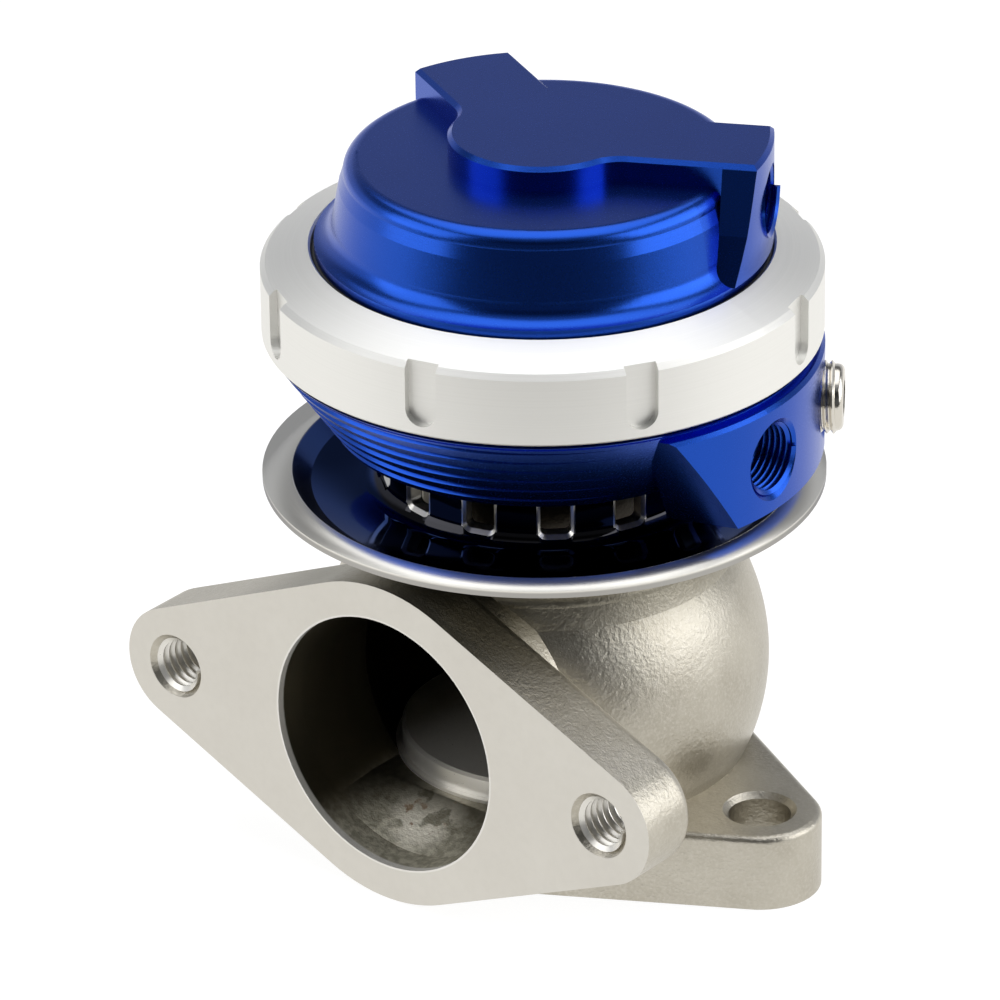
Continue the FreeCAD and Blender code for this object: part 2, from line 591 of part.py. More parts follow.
# Shield, gasket and the screws that hold the actuator down
def make_heat_shield():
    body = new_body("heat_shield")
    top = "foot_height"
    bend = "(hat_foot + shield_sheet)"
    inside = "(hat_radius - hat_wall)"
    turned(body, "dish", [
        ("shield_hole", SHIELD_FOOT), (f"{inside} - hat_round", SHIELD_FOOT),
        (inside, f"{SHIELD_FOOT} - hat_round", "hat_round", -1),
        (inside, "dish_floor - shield_sheet + 1"), (f"{inside} + 1", "dish_floor - shield_sheet", "1", 1),
        ("dish_bend", "dish_floor - shield_sheet"), ("rim_inner", "rim_height - shield_sheet"),
        ("rim_radius", "rim_height - shield_sheet"), ("rim_radius", "rim_height"),
        ("rim_inner - 0.3", "rim_height"), ("dish_bend - 0.3", "dish_floor"),
        ("hat_radius + hat_foot", "dish_floor"),
        ("hat_radius", "dish_floor + hat_foot", "hat_foot", -1),
        ("hat_radius", f"{top} - hat_round"),
        ("hat_radius - hat_round", top, "hat_round", 1), ("shield_hole", top)])
    drawing = sketch_on(body, "vent_outline", "facing", azimuth="vent_angle", out="hat_radius + 2")
    window_outline(drawing, "0")
    vent = pocket(body, "vent", drawing, "hat_wall + 3")
    drawing = sketch_on(body, "vent_bevel_outline", "facing", azimuth="vent_angle",
                        out="hat_radius + vent_bevel")
    window_outline(drawing, "2 * vent_bevel")
    bevel = pocket(body, "vent_edge", drawing, "2 * vent_bevel")
    bevel.setExpression("TaperAngle", "-45")
    repeated(body, [vent, bevel], "vents", "vent_count")
    drawing = sketch_on(body, "screw_circle_outline", "level", azimuth="45", up=top)
    add_circle(drawing, "screw_circle", "0", "screw_clear")
    hole = pocket(body, "screw_hole", drawing, "shield_sheet + 1")
    repeated(body, [hole], "screw_holes", "4")


def window_outline(drawing, growth):
    half = f"(vent_width / 2 + {growth})"
    corner = f"(0.8 + {growth})"
    low = f"(vent_foot - {growth})"
    high = f"(vent_head + {growth})"
    add_outline(drawing, [
        (f"{half} - {corner}", low), (half, f"{low} + {corner}", corner, 1), (half, high),
        (f"-{half}", high), (f"-{half}", f"{low} + {corner}"),
        (f"-{half} + {corner}", low, corner, 1)])


def make_shield_gasket():
    body = new_body("shield_gasket")
    turned(body, "sheet", ring_profile("shield_hole", "turret_radius - 0.5", GASKET_FOOT, SHIELD_FOOT))
    drawing = sketch_on(body, "screw_circle_outline", "level", azimuth="45", up=SHIELD_FOOT)
    add_circle(drawing, "screw_circle", "0", "screw_clear")
    hole = pocket(body, "screw_hole", drawing, "gasket_depth + 1")
    repeated(body, [hole], "screw_holes", "4")


def make_screws():
    body = new_body("housing_screws")
    tip = f"({GASKET_FOOT} - screw_reach)"
    top = f"({HEAD_FOOT} + screw_head_height)"
    screw = turned(body, "screw", [
        ("0", tip), ("screw_radius - 0.5", tip), ("screw_radius", f"{tip} + 0.5"),
        ("screw_radius", HEAD_FOOT), ("screw_head", HEAD_FOOT), ("screw_head", f"{top} - 0.4"),
        ("screw_head - 0.4", top), ("screw_flats", top), ("screw_flats", f"{top} - 2.2"),
        ("0", f"{top} - 2.6")], azimuth="45", out="screw_circle")
    repeated(body, [screw], "screws", "4")
    body = new_body("screw_washers")
    washer = turned(body, "washer", ring_profile(
        "screw_clear", "screw_head + 0.2", WASHER_FOOT, HEAD_FOOT), azimuth="45", out="screw_circle")
    repeated(body, [washer], "washers", "4")


# Finned lower housing
def cone_radius(height):
    return f"(foot_radius + ({height} - foot_height) * {CONE_SLOPE})"


def make_lower_housing():
    body = new_body("lower_housing")
    hole = "(stem_radius + free_gap)"
    turned(body, "bowl", [
        (hole, "foot_height"), ("foot_radius", "foot_height"),
        ("shoulder_radius", "shoulder_height"), ("thread_radius", "shoulder_height"),
        ("thread_radius", "parting_height"), (hole, "parting_height")])
    # Cooling grooves, turned about a shifted axis so that they run out on both sides
    crest = "(fin_shift + 0.15)"
    steps = []
    for row in range(7):
        rim = f"(foot_height + fin_start + fin_pitch * {row - 0.5})"
        steps.append((f"{cone_radius(rim)} + {crest}", rim))
        if row < 6:
            root = f"(foot_height + fin_start + fin_pitch * {row})"
            steps.append((f"{cone_radius(root)} - fin_depth", root))
    outside = "(shoulder_radius + 4)"
    steps += [(outside, steps[-1][1]), (outside, steps[0][1])]
    turned(body, "cooling_grooves", steps, cut=True, azimuth="block_angle", out="fin_shift")
    # Port block
    drawing = sketch_on(body, "block_outline", "facing", azimuth="block_angle", out="block_inner")
    add_outline(drawing, [
        ("-block_foot_half", "block_foot"), ("block_foot_half", "block_foot"),
        ("block_top_half", "block_top"), ("-block_top_half", "block_top")])
    pad(body, "port_block", drawing, "block_radius - block_inner + 2")
    limit = "(block_radius + 14)"
    turned(body, "block_face", [
        ("block_radius", "block_foot - 1"), (limit, "block_foot - 1"), (limit, "block_top + 1"),
        ("block_radius - 1 - block_bevel", "block_top + 1"),
        ("block_radius", "block_top - block_bevel")], cut=True)
    turned(body, "cavity", [
        ("0", FLOOR_TOP), ("cavity_floor", FLOOR_TOP), ("cavity_radius", "parting_height - 4"),
        ("cavity_radius", "parting_height + 1"), ("0", "parting_height + 1")], cut=True)
    cut_port(body, "open_port", "port_angle", "block_radius", "port_height", "port_depth", SIDE_DRILL)
    cut_port(body, "plugged_port", "plug_angle", "block_radius", "port_height", "port_depth", SIDE_DRILL)
    sink = turned(body, "screw_sink", [
        ("0", "foot_height - 1"), ("screw_clear", "foot_height - 1"), ("screw_clear", WASHER_FOOT),
        ("screw_pocket", WASHER_FOOT), ("screw_pocket", f"{FLOOR_TOP} + 1"), ("0", f"{FLOOR_TOP} + 1")],
        cut=True, azimuth="45", out="screw_circle")
    repeated(body, [sink], "screw_sinks", "4")


def cut_port(body, name, azimuth, face, height, depth, reach, bevelled=True):
    # A threaded bore with a drilling on to the chamber, and mostly with a bevelled mouth.
    drawing = sketch_on(body, name + "_circle", "facing", azimuth=azimuth, out=face + " + 1")
    add_circle(drawing, "0", height, "port_radius")
    pocket(body, name, drawing, f"{depth} + 1")
    drawing = sketch_on(body, name + "_drill", "facing", azimuth=azimuth, out=face)
    add_circle(drawing, "0", height, "drill_radius")
    pocket(body, name + "_way", drawing, reach)
    if not bevelled:
        return
    drawing = sketch_on(body, name + "_bevel_circle", "facing", azimuth=azimuth,
                        out=f"{face} + port_bevel")
    add_circle(drawing, "0", height, "port_radius + 2 * port_bevel")
    bevel = pocket(body, name + "_bevel", drawing, "2 * port_bevel")
    bevel.setExpression("TaperAngle", "-45")


def make_side_port_plug():
    body = new_body("side_port_plug")
    drawing = sketch_on(body, "plug_circle", "facing", azimuth="plug_angle", out="plug_inner")
    add_circle(drawing, "0", "port_height", "port_radius")
    pad(body, "plug", drawing, "plug_reach - plug_inner")
    middle = FreeCAD.Vector(0, 0, value("port_height"))
    softened(body, "plug_end", "Fillet", "plug_round",
             lambda edge: round_edge(edge, value("port_radius"))
             and edge.Curve.Center.distanceToPoint(middle) > value("plug_reach") - 0.1)
    drawing = sketch_on(body, "socket_outline", "facing", azimuth="plug_angle", out="plug_reach")
    drawing.setExpression("AttachmentOffset.Base.y", bind("port_height"))
    hexagon(drawing, "plug_flats")
    pocket(body, "socket", drawing, "plug_socket")


# Diaphragm stack
def make_diaphragm():
    body = new_body("diaphragm")
    foot = "parting_height"
    top = "cap_foot"
    wall = "(bead_inner - 0.9)"
    turned(body, "moulding", [
        (STEM_HOLE, RUBBER_FOOT), ("rubber_flat", RUBBER_FOOT),
        (f"{wall} - 1", f"{foot} - 1.6"), (wall, foot), ("bead_outer", foot),
        ("bead_outer", top), ("bead_inner", top), (f"{wall} - 1.4", f"{foot} - 0.6"),
        ("rubber_flat - 0.6", CUP_FOOT), (STEM_HOLE, CUP_FOOT)])


def make_plates():
    body = new_body("diaphragm_plate")
    turned(body, "plate", [
        (STEM_HOLE, "plate_height"), ("plate_radius - 0.5", "plate_height"),
        ("plate_radius", "plate_height + 0.5"), ("plate_radius", RUBBER_FOOT), (STEM_HOLE, RUBBER_FOOT)])
    body = new_body("spring_plate")
    inside = "(cup_radius - plate_depth)"
    turned(body, "cup", [
        (STEM_HOLE, CUP_FOOT), ("cup_radius - 2.4", CUP_FOOT),
        ("cup_radius", f"{CUP_FOOT} + 2.4", "2.4", 1), ("cup_radius", f"{CUP_TOP} + cup_rim"),
        (inside, f"{CUP_TOP} + cup_rim"), (inside, f"{CUP_TOP} + 0.8"),
        (f"{inside} - 0.8", CUP_TOP, "0.8", -1), (STEM_HOLE, CUP_TOP)])
    body = new_body("stem_washer")
    turned(body, "washer", ring_profile(STEM_HOLE, "nut_washer_radius", CUP_TOP, NUT_FOOT))
    body = new_body("stem_nut")
    drawing = sketch_on(body, "nut_outline", "level", up=NUT_FOOT)
    hexagon(drawing, "nut_flats / cos(30)")
    add_circle(drawing, "0", "0", "stem_thread")
    pad(body, "nut", drawing, "nut_height")
    corner = "(nut_flats / cos(30))"
    turned(body, "nut_crown", [
        (f"{corner} - 0.75", f"{NUT_TOP} + 0.1"), (f"{corner} + 1", f"{NUT_TOP} - 0.9"),
        (f"{corner} + 1", f"{NUT_TOP} + 0.1")], cut=True)


def make_spring(name, wire, coil):
    body = new_body(name)
    drawing = sketch_on(body, "wire_section", "upright")
    add_circle(drawing, coil, f"{CUP_TOP} + {wire} * 0.4", wire)
    helix = body.newObject("PartDesign::AdditiveHelix", "coils")
    helix.Profile = drawing
    helix.ReferenceAxis = (drawing, ["V_Axis"])
    helix.Mode = "height-turns-angle"
    helix.setExpression("Height", bind(f"roof_height - {CUP_TOP} - {wire} * 0.8"))
    helix.setExpression("Turns", bind("spring_turns"))
    outer = f"({coil} + 2 * {wire})"
    inner = f"({coil} - 2 * {wire})"
    turned(body, "ground_foot", ring_profile(inner, outer, f"{CUP_TOP} - 3", CUP_TOP), cut=True)
    turned(body, "ground_top", ring_profile(inner, outer, "roof_height", "roof_height + 3"), cut=True)


# Cap with hub and arms
def boss_outline(drawing):
    # Hub circle with both arms, each joined by hollow rounds and ended by a round about the axis.
    away = "(arm_half + arm_blend)"
    along = f"sqrt((hub_radius + arm_blend)^2 - {away}^2)"
    shrink = "(hub_radius / (hub_radius + arm_blend))"
    steps = []
    for turn, reach in (("arm_angle", "arm_reach"), ("(arm_angle + arm_spread)", "plain_reach")):
        end = f"sqrt({reach}^2 - arm_half^2)"

        def spot(out, left):
            return (f"({out}) * cos({turn}) - ({left}) * sin({turn})",
                    f"({out}) * sin({turn}) + ({left}) * cos({turn})")

        steps += [
            spot(f"{along} * {shrink}", f"-{away} * {shrink}") + ("hub_radius", 1),
            spot(along, "-arm_half") + ("arm_blend", -1),
            spot(end, "-arm_half"), spot(end, "arm_half") + (reach, 1), spot(along, "arm_half"),
            spot(f"{along} * {shrink}", f"{away} * {shrink}") + ("arm_blend", -1)]
    add_outline(drawing, steps)


def make_cap():
    body = new_body("cap")
    edge = "(disc_height - cap_round)"
    turned(body, "shell", [
        ("0", "cap_foot"), ("cap_flange", "cap_foot"), ("cap_flange", "cap_ledge"),
        ("cap_radius", "cap_ledge"), ("cap_radius", "cap_flare"),
        ("flare_top", "cap_flare + flare_height", "flare_radius", -1), ("cap_waist", "waist_height"),
        ("cap_shoulder", edge), ("cap_shoulder - cap_round", "disc_height", "cap_round", 1),
        ("0", "disc_height")])
    drawing = sketch_on(body, "boss_plan", "level", up="waist_height")
    boss_outline(drawing)
    pad(body, "boss", drawing, "boss_height - waist_height")
    # The port arm widens below the disc, down to the collar
    drawing = sketch_on(body, "arm_outline", "facing", azimuth="arm_angle", out="cap_shoulder - 1")
    waist = "(cap_flare + arm_waist)"
    crown = "(boss_height - boss_bevel - 0.1)"
    add_outline(drawing, [
        ("-arm_foot_half", "cap_flare"), ("arm_foot_half", "cap_flare"),
        ("arm_waist_half", waist), ("arm_half", crown), ("-arm_half", crown),
        ("-arm_waist_half", waist)])
    pad(body, "port_arm", drawing, "arm_reach - cap_shoulder + 3")
    limit = "(arm_reach + 6)"
    turned(body, "arm_face", ring_profile("arm_reach", limit, "cap_flare - 0.1", crown + " + 0.1"), cut=True)
    turned(body, "cavity", [
        ("0", "roof_height"), ("0", f"cap_foot - 1"), ("cavity_radius", f"cap_foot - 1"),
        ("cavity_radius", "cap_foot"), ("cap_bulge", "cap_flare"), ("roof_radius", "roof_height - 6"),
        ("roof_radius", "roof_height")], cut=True)
    turned(body, "cord_seat", ring_profile(
        "cord_middle - cord", "cap_radius + 1", "cord_height - cord - 0.1", "cord_height + cord + 0.1"),
        cut=True)
    cut_port(body, "cap_port", "arm_angle", "arm_reach", "cap_port_height", "cap_port_depth",
             CAP_DRILL, False)
    top = value("boss_height")
    softened(body, "boss_bevels", "Chamfer", "boss_bevel", lambda edge: lies_at(edge, "Z", top))


def make_seals():
    body = new_body("cap_o_ring")
    drawing = sketch_on(body, "cord_section", "upright")
    add_circle(drawing, "cord_middle", "cord_height", "cord")
    ring = body.newObject("PartDesign::Revolution", "cord_ring")
    ring.Profile = drawing
    ring.ReferenceAxis = (drawing, ["V_Axis"])
    ring.Angle = 360
    body = new_body("thrust_ring")
    turned(body, "ring", ring_profile("thrust_inner", "cap_flange", "cap_ledge", "lip_foot"))


# Clamp collar
def make_collar():
    body = new_body("collar")
    bore = "(thread_radius + thread_gap)"
    turned(body, "ring", [
        (bore, "collar_foot + edge_bevel"), (f"{bore} + edge_bevel", "collar_foot"),
        ("collar_radius - edge_bevel", "collar_foot"), ("collar_radius", "collar_foot + edge_bevel"),
        ("collar_radius", "collar_edge - collar_bevel"), ("collar_radius - collar_bevel", "collar_edge"),
        ("collar_bore + edge_bevel", "collar_top"), ("collar_bore", "collar_top - edge_bevel"),
        ("collar_bore", "lip_foot"), (bore, "lip_foot")])
    drawing = sketch_on(body, "notch_outline", "facing", azimuth="notch_angle", out="collar_radius + 1")
    middle = "(notch_foot + notch_half)"
    add_outline(drawing, [
        ("-notch_half", middle), ("0", "notch_foot", "notch_half", 1),
        ("notch_half", middle, "notch_half", 1),
        ("notch_half", "collar_top"), ("-notch_half", "collar_top")])
    notch = pocket(body, "notch", drawing, "notch_depth + 1")
    repeated(body, [notch], "notches", "notch_count")


make_valve_body()
make_valve_seat()
make_valve()
make_stem_parts()
make_heat_shield()
make_shield_gasket()
make_screws()
make_lower_housing()
make_side_port_plug()
make_diaphragm()
make_plates()
make_spring("outer_spring", "outer_wire", "outer_coil")
make_spring("middle_spring", "middle_wire", "middle_coil")
make_spring("inner_spring", "inner_wire", "inner_coil")
make_cap()
make_seals()
make_collar()

# Each feature is checked before its part is written
doc.recompute()
faults = []
for body in doc.findObjects("PartDesign::Body"):
    before = 0.0
    for item in body.Group:
        if "Invalid" in item.State or "Error" in item.State:
            faults.append(f"{body.Label}: {item.Name} {item.State}")
        if item.isDerivedFrom("Sketcher::SketchObject") or item.Shape.isNull():
            continue
        after = item.Shape.Volume
        cuts = any(word in item.TypeId for word in ("Pocket", "Groove", "Subtractive"))
        if (cuts and after > before - 1e-3) or (not cuts and "Pad" in item.TypeId and after < before + 1e-3):
            faults.append(f"{body.Label}: {item.Name} changes {before:.2f} to {after:.2f}")
        before = after
    if body.Shape.isNull() or not body.Shape.isValid():
        faults.append(f"{body.Label}: shape")
    else:
        body.Shape.exportStep(f"parts/{body.Label}.step")
        box = body.Shape.BoundBox
        print(f"{body.Label:18s} solids {len(body.Shape.Solids)} faces {len(body.Shape.Faces):3d}"
              f" volume {body.Shape.Volume:10.1f} z {box.ZMin:7.2f} {box.ZMax:7.2f}")
if faults:
    raise RuntimeError("\n".join(faults))
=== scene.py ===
# %% [markdown]
# # External wastegate, dressed for its photograph
# A wastegate lets exhaust gas round a turbine. The solids come ready made from the pack, in
# metres: the valve axis is Z, the inlet face lies at Z = 0 and the outlet looks along -Y. This
# lesson gives every solid its finish, cuts the threads that solids leave smooth, and lights the
# whole. We start by loading the frame, because every later place is read from it.

# %% Load the frame
import json
import math
import bmesh
import bpy
from mathutils import Matrix, Vector

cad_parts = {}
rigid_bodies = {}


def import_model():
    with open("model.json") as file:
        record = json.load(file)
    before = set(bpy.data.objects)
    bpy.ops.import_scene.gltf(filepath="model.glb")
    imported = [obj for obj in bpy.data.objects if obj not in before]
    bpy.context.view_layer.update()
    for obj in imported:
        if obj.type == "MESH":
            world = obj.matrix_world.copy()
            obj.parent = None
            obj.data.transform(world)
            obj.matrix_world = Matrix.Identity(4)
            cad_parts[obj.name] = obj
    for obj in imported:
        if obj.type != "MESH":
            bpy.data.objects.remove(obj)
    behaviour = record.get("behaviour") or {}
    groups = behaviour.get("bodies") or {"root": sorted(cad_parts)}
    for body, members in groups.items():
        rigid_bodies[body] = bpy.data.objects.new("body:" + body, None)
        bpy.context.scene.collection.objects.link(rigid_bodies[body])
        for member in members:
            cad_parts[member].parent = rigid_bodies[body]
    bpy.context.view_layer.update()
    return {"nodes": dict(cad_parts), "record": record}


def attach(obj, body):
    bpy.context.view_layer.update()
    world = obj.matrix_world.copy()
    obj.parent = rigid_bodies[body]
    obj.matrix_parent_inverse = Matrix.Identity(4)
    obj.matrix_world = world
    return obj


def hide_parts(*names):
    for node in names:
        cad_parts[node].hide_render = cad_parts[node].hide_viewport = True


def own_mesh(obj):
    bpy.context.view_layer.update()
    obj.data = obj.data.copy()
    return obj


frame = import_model()
nodes = frame["nodes"]

# %% [markdown]
# ## A short hand for shader nodes
# A finish is a graph of small nodes. Linking them by hand takes many lines, so this class adds
# a node and fills its sockets in one call. All patterns read Object coordinates, which stay on
# the metal when a piece moves. An image would be the other way, but it needs unwrapped surfaces.
# A ramp answers 0 below one limit and 1 above the other, so products of ramps mark out places.

# %% Shader helper
class Graph:
    def __init__(self, owner, output="ShaderNodeOutputMaterial", coordinate="Object"):
        owner.use_nodes = True
        self.owner = owner
        self.tree = owner.node_tree
        self.tree.nodes.clear()
        self.out = self.add(output)
        self.place = self.add("ShaderNodeTexCoord").outputs[coordinate]
        self.x, self.y, self.z = self.add("ShaderNodeSeparateXYZ", Vector=self.place).outputs

    def add(self, kind, props=None, **inputs):
        node = self.tree.nodes.new(kind)
        for key, value in (props or {}).items():
            setattr(node, key, value)
        for key, value in inputs.items():
            self.put(node.inputs[key.replace("_", " ")], value)
        return node

    def put(self, socket, value):
        if isinstance(value, bpy.types.NodeSocket):
            self.tree.links.new(value, socket)
        else:
            socket.default_value = value

    def math(self, operation, *values):
        node = self.add("ShaderNodeMath", {"operation": operation})
        for socket, value in zip(node.inputs, values):
            self.put(socket, value)
        return node.outputs[0]

    def times(self, product, *factors):
        for factor in factors:
            product = self.math("MULTIPLY", product, factor)
        return product

    def ramp(self, value, low, high, start=0.0, end=1.0):
        node = self.add("ShaderNodeMapRange", {"interpolation_type": "SMOOTHSTEP"})
        for socket, number in zip(node.inputs, (value, low, high, start, end)):
            self.put(socket, number)
        return node.outputs[0]

    def mix(self, factor, first, second):
        node = self.add("ShaderNodeMix", {"data_type": "RGBA"})
        for place, value in ((0, factor), (6, first), (7, second)):
            self.put(node.inputs[place], value)
        return node.outputs[2]

    def blend(self, factor, first, second):
        node = self.add("ShaderNodeMix", {"data_type": "FLOAT"})
        for place, value in ((0, factor), (2, first), (3, second)):
            self.put(node.inputs[place], value)
        return node.outputs[0]

    def noise(self, scale, detail=4.0, roughness=0.55, vector=None):
        node = self.add("ShaderNodeTexNoise", Vector=vector or self.place, Scale=scale,
                        Detail=detail, Roughness=roughness)
        return node.outputs["Fac"]

    def length(self, *parts):
        squares = [self.math("MULTIPLY", part, part) for part in parts]
        total = squares[0]
        for square in squares[1:]:
            total = self.math("ADD", total, square)
        return self.math("SQRT", total)

    def turned(self, scale, detail=3.0):
        # Lathe marks: noise that changes with radius and height, and never round the axis.
        rings = self.add("ShaderNodeCombineXYZ", X=self.length(self.x, self.y), Y=self.z).outputs[0]
        return self.noise(scale, detail, 0.6, rings)

    def bump(self, height, distance, strength=1.0):
        return self.add("ShaderNodeBump", Height=height, Distance=distance, Strength=strength).outputs[0]

    def surface(self, **inputs):
        node = self.add("ShaderNodeBsdfPrincipled")
        for key, value in inputs.items():
            self.put(node.inputs[key.replace("_", " ")], value)
        self.put(self.out.inputs[0], node.outputs[0])


def rgb(red, green, blue):
    return (red, green, blue, 1.0)


print("helper ready")

# %% [markdown]
# ## Cast steel body
# The body is an investment casting: a fine sandy skin in warm grey, milled only where it seals.
# Two noises make the skin, a fine one for the grain and a broad one for its cloudy tone. The
# gas side is burnt dark, so the distance from the middle of the chamber and from the outlet
# axis says where soot lies. Painting faces one by one would leave hard borders instead. Below
# the shield a ramp along Z darkens the neck, a painted shadow of the shield.

# %% Cast steel
OUTLET_AXIS = 0.0243
OUTLET_FACE = -0.0362
BORE = 0.019
CHAMBER = 0.0256
ENTRY_MIDDLE = 0.0125
ENTRY_HALF = 0.012
DECK = 0.046
TURRET = 0.017
FLAT = 0.00004
STAIN_X = -0.001
STAIN_Y = -0.025


def cast_steel():
    g = Graph(bpy.data.materials.new("cast_steel"))
    lift = g.math("SUBTRACT", g.z, OUTLET_AXIS)
    bore = g.length(g.x, lift)
    axis = g.length(g.x, g.y)

    # Where the gas runs: the outlet tube, the entry tube and the round chamber.
    tube = g.times(g.ramp(bore, BORE + 0.0009, BORE + 0.0007), g.math("LESS_THAN", g.y, 0.0),
                   g.ramp(g.y, OUTLET_FACE + 0.0002, OUTLET_FACE + 0.0010))
    above = g.math("ABSOLUTE", g.math("SUBTRACT", g.z, ENTRY_MIDDLE))
    entry = g.times(g.ramp(axis, BORE + 0.0009, BORE + 0.0007),
                    g.ramp(above, ENTRY_HALF + 0.0002, ENTRY_HALF - 0.0002))
    chamber = g.ramp(g.length(g.x, g.y, lift), CHAMBER + 0.001, CHAMBER + 0.0005)
    inner = g.math("MAXIMUM", g.math("MAXIMUM", tube, chamber), entry)

    # Where the casting is milled or shaded: both flange faces, the bore's mouth (a machined band painted
    # near white as a painted highlight line) and the turret (painted near black as painted shade under the
    # shield).
    face = g.math("LESS_THAN", g.math("ABSOLUTE", g.math("SUBTRACT", g.y, OUTLET_FACE)), FLAT)
    milled = g.math("MAXIMUM", face, g.math("LESS_THAN", g.z, FLAT))
    mouth_highlight = g.times(g.ramp(g.y, OUTLET_FACE + 0.0013, OUTLET_FACE + 0.0009),
                    g.ramp(bore, BORE + 0.0004, BORE + 0.0001))
    turret_shade = g.times(g.math("GREATER_THAN", g.z, DECK + 0.0015),
                     g.math("LESS_THAN", axis, TURRET + 0.0002))

    # The raw skin in two warm greys, painted darker towards the deck as a painted shadow of the shield.
    fine = g.noise(2100.0, 4.0, 0.62)
    pits = g.noise(900.0, 3.0, 0.5)
    cloud = g.noise(75.0, 4.0, 0.6)
    raw = g.mix(g.ramp(cloud, 0.3, 0.7), rgb(0.43, 0.40, 0.335), rgb(0.53, 0.50, 0.43))
    raw = g.mix(g.ramp(fine, 0.4, 0.75, 0.0, 0.6), raw, rgb(0.60, 0.57, 0.51))
    # Painted shadow of the shield: the neck is darkened to brown along Z below the deck.
    raw = g.mix(g.ramp(g.z, 0.037, 0.0455, 0.0, 0.7), raw, rgb(0.13, 0.12, 0.085))

    # Soot grows darker inwards. The floor of the bore is scoured and painted brighter as a painted
    # highlight, with a pale, rusty stain.
    soot = g.mix(g.ramp(g.y, -0.034, -0.012), rgb(0.17, 0.152, 0.105), rgb(0.05, 0.044, 0.026))
    floor = g.times(g.ramp(g.z, 0.0115, 0.0068), g.ramp(g.y, -0.006, -0.014))
    # The floor's lighter tone is partly painted highlight.
    scoured_highlight = g.mix(g.ramp(pits, 0.35, 0.65), rgb(0.37, 0.345, 0.265), rgb(0.62, 0.59, 0.475))
    soot = g.mix(floor, soot, scoured_highlight)
    away = g.length(g.math("SUBTRACT", g.x, STAIN_X), g.math("SUBTRACT", g.y, STAIN_Y))
    stain = g.times(g.ramp(away, 0.0075, 0.003), g.ramp(g.noise(330.0, 5.0), 0.38, 0.48), floor)
    soot = g.mix(stain, soot, rgb(0.98, 0.93, 0.80))
    rust = g.times(stain, g.ramp(g.noise(420.0, 3.0), 0.60, 0.68))
    soot = g.mix(rust, soot, rgb(0.30, 0.15, 0.05))

    blasted = g.mix(cloud, rgb(0.63, 0.605, 0.555), rgb(0.69, 0.67, 0.62))
    # The turret under the shield is painted near black as painted shade.
    color = g.mix(turret_shade, g.mix(inner, raw, soot), rgb(0.045, 0.04, 0.034))
    # The bore's mouth is a machined band painted near white as a painted highlight line.
    color = g.mix(mouth_highlight, g.mix(milled, color, blasted), rgb(0.88, 0.86, 0.81))
    rough = g.blend(inner, g.ramp(cloud, 0.2, 0.8, 0.29, 0.38), 0.42)
    rough = g.blend(milled, rough, g.ramp(pits, 0.3, 0.7, 0.36, 0.44))
    dull = g.math("MAXIMUM", g.times(floor, inner), mouth_highlight)
    grain = g.math("ADD", g.times(fine, 0.6), g.times(pits, 0.5))
    depth = g.blend(milled, g.blend(floor, g.blend(inner, 1.0, 0.3), 1.3), 0.08)
    g.surface(Base_Color=color, Metallic=g.blend(dull, 1.0, 0.35), Roughness=rough,
              Normal=g.bump(g.times(grain, depth), 0.0002, 0.7))
    return g.owner


library = {"cast_steel": cast_steel()}
print("cast steel ready")

# %% [markdown]
# ## Anodised aluminium
# Blue dye sits in a clear oxide skin on turned metal, so the colour belongs to the metal below
# and a colourless coat lies on top: seen flat across, the top faces turn slate grey. The collar
# is clear anodised and bead blasted. Faint lathe marks spread its light up and down.

# %% Anodised finishes
def blue_aluminium():
    g = Graph(bpy.data.materials.new("blue_aluminium"))
    lathe = g.turned(3600.0)
    fine = g.noise(5000.0, 2.0)
    tint = g.mix(g.noise(60.0, 3.0), rgb(0.011, 0.068, 0.430), rgb(0.015, 0.082, 0.510))
    height = g.math("ADD", g.times(lathe, 0.8), g.times(fine, 0.4))
    g.surface(Base_Color=tint, Metallic=1.0, Roughness=g.blend(fine, 0.22, 0.30), Coat_Weight=0.08,
              Coat_Roughness=0.2, Coat_IOR=1.5, Normal=g.bump(height, 0.00002, 0.4))
    return g.owner


def silver_aluminium():
    g = Graph(bpy.data.materials.new("silver_aluminium"))
    lathe = g.turned(3200.0, 4.0)
    fine = g.noise(6000.0, 2.0)
    tint = g.mix(lathe, rgb(0.82, 0.815, 0.785), rgb(0.90, 0.895, 0.87))
    height = g.math("ADD", g.times(lathe, 0.9), g.times(fine, 0.5))
    g.surface(Base_Color=tint, Metallic=1.0, Roughness=g.blend(lathe, 0.42, 0.54),
              Normal=g.bump(height, 0.00002, 0.5))
    return g.owner


library["blue_aluminium"] = blue_aluminium()
library["silver_aluminium"] = silver_aluminium()
print("aluminium ready")

# %% [markdown]
# ## Heat shield
# The shield is spun stainless sheet: polished like a mirror inside, brushed on its rim and
# below. Its windows were punched after polishing, so their edges are bare bright steel. Radius
# and height tell polished from brushed, and the angle to the nearest window marks the edges.
# The dish rises in a soft curve and its rim is rolled: a bump with that profile bends the
# light as the spun sheet does, where the solid has plain cones.

# %% Shield finish
BOWL = 0.026
RIM = 0.0354
LIP = 0.0392
RIM_TOP = 0.0536
DISH = 0.0518
HAT = 0.0225
HAT_INSIDE = 0.0203
HAT_TOP = 0.0602
WINDOWS = 13
WINDOW_ANGLE = math.radians(-47.2)
WINDOW_HALF = 0.0021
WINDOW_MIDDLE = 0.05625
WINDOW_REACH = 0.00275
CUT_EDGE = 0.00056
BOWL_CURVE = 24.0
ROLL_CURVE = 87.0
ROLL_SLOPE = 0.2


